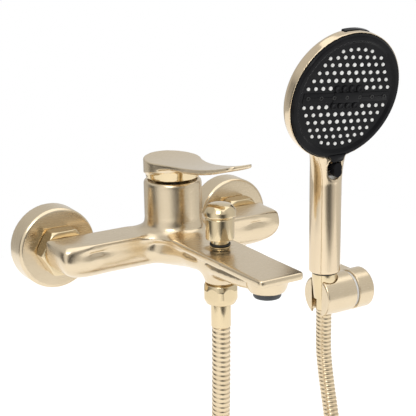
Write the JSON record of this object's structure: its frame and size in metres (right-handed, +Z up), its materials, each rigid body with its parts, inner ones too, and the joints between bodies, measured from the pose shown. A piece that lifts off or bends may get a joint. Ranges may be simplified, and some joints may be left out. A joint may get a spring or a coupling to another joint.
{
  "type": "wall mounted bath faucet",
  "caption": "Wall mounted single-lever bath faucet with spout diverter, hand shower on a metal hose and a tilting wall bracket.",
  "frame": {"origin": "midway between the two supply inlets, on the wall plane", "axes": "+Y into the wall, -Y out to the room, +X to the right facing the wall, +Z up"},
  "size_m": [0.3124, 0.2145, 0.4893],
  "materials": {
    "brushed_gold": "satin brushed gold plating",
    "polished_gold": "polished gold plating",
    "hose_gold": "wound metal sleeve, gold",
    "raw_brass": "machined brass",
    "black_plastic": "gloss black",
    "white_silicone": "soft white silicone",
    "white_plastic": "matte white",
    "grey_plastic": "dark grey",
    "black_rubber": "matte black rubber",
    "ceramic": "ground ceramic, stands for alumina",
    "steel": "plain steel"
  },
  "bodies": {
    "faucet": {"hot_wall_union": "raw_brass", "cold_wall_union": "raw_brass", "hot_inlet_tail": "raw_brass", "cold_inlet_tail": "raw_brass", "cartridge_nut": "raw_brass", "hose_outlet_nipple": "raw_brass", "hot_escutcheon": "brushed_gold", "cold_escutcheon": "brushed_gold", "hot_union_nut": "brushed_gold", "cold_union_nut": "brushed_gold", "body_casting": "brushed_gold", "bracket_base": "brushed_gold", "diverter_bush": "polished_gold", "hose_nut": "polished_gold", "lower_ferrule": "polished_gold", "inlet_washers": "black_rubber", "cartridge_seals": "black_rubber", "diverter_o_ring": "black_rubber", "aerator_washer": "black_rubber", "hose_washer": "black_rubber", "hose_tie": "black_rubber", "cartridge_housing": "white_plastic", "aerator_insert": "white_plastic", "bracket_washer": "white_plastic", "ceramic_fixed_disc": "ceramic", "bracket_wall_plate": "steel", "bracket_wall_screws": "steel", "bracket_grub_screw": "steel", "bracket_pivot_pin": "steel", "aerator_housing": "grey_plastic", "hose_faucet_leg": "hose_gold", "hose_handset_leg": "hose_gold", "hose_coil": "hose_gold"},
    "turret": {"cartridge_rotor": "white_plastic", "stem_pin": "steel"},
    "lever_arm": {"lever": "brushed_gold", "lever_grub_screw": "steel", "lever_screw_plug": "grey_plastic", "cartridge_stem": "steel"},
    "disc_stack": {"ceramic_moving_disc": "ceramic", "disc_carrier": "white_plastic"},
    "diverter": {"diverter_knob": "polished_gold", "diverter_rod": "raw_brass", "diverter_piston": "raw_brass", "diverter_seal": "black_rubber"},
    "cradle": {"bracket_cradle": "brushed_gold", "hose_sleeve": "hose_gold"},
    "handset": {"handset_shell": "brushed_gold", "face_plate": "black_plastic", "nozzle_mat": "white_silicone", "spray_disc": "white_plastic", "jet_insert": "black_plastic", "waterway_tube": "white_plastic", "inlet_nipple": "raw_brass", "handle_washer": "black_rubber", "cone_nut": "polished_gold", "cone_washer": "black_rubber", "upper_ferrule": "polished_gold", "hose_tail": "hose_gold"},
    "selector": {"spray_selector": "black_plastic"}
  },
  "joints": [
    {"name": "lever_turn", "type": "hinge", "parent": "faucet", "child": "turret", "pos_m": [0, -0.053, 0.02], "axis": [0, 0, 1], "range_deg": [-45, 45]},
    {"name": "lever_lift", "type": "hinge", "parent": "turret", "child": "lever_arm", "pos_m": [0, -0.053, 0.02], "axis": [-1, 0, 0], "range_deg": [0, 20]},
    {"name": "disc_slide", "type": "slide", "parent": "turret", "child": "disc_stack", "axis": [0, -1, 0], "range_m": [0, 0.0027]},
    {"name": "diverter_pull", "type": "slide", "parent": "faucet", "child": "diverter", "axis": [0, 0, 1], "range_m": [0, 0.009]},
    {"name": "cradle_tilt", "type": "hinge", "parent": "faucet", "child": "cradle", "pos_m": [0.165, -0.03, -0.078], "axis": [1, 0, 0], "range_deg": [-3, 20]},
    {"name": "handset_lift", "type": "slide", "parent": "cradle", "child": "handset", "axis": [0, 0, 1], "range_m": [0, 0.03]},
    {"name": "selector_press", "type": "slide", "parent": "handset", "child": "selector", "axis": [0, 1, 0], "range_m": [0, 0.0022], "stiffness_N_per_m": 800}
  ],
  "couplings": [
    {"joint": "disc_slide", "follows": "lever_lift", "m_per_rad": 0.0075}
  ]
}
